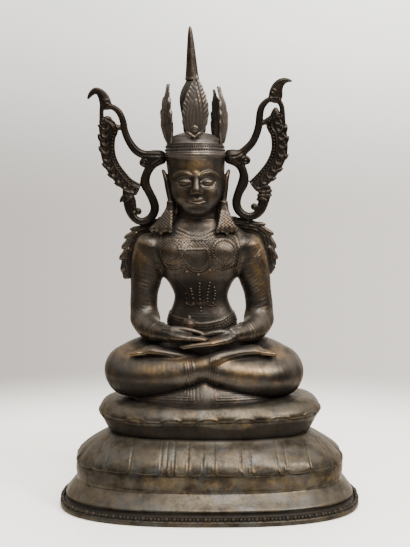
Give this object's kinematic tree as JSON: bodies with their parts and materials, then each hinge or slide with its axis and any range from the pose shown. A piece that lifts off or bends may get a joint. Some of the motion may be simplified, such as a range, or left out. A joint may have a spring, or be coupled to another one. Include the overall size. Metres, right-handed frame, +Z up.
{
  "type": "crowned seated buddha figure on a lotus plinth",
  "caption": "Crowned Buddha in cast bronze, seated cross-legged with a jar in the lap, flying ribbons beside the head, on a waisted lotus plinth.",
  "frame": {"origin": "middle of the plinth's underside, on the ground", "axes": "+Z up, -Y the way the figure faces, +X towards the figure's left hand, which is the viewer's right"},
  "size_m": [0.3572, 0.236, 0.56],
  "materials": {
    "bronze": "cast bronze, satin, dark brown patina worn to ochre on the high places",
    "dark_bronze": "cast bronze, satin, nearly black brown patina"
  },
  "bodies": {
    "root": {"statue": "bronze", "crown_spire": "bronze", "ribbon_right": "dark_bronze", "ribbon_left": "dark_bronze"}
  },
  "joints": []
}
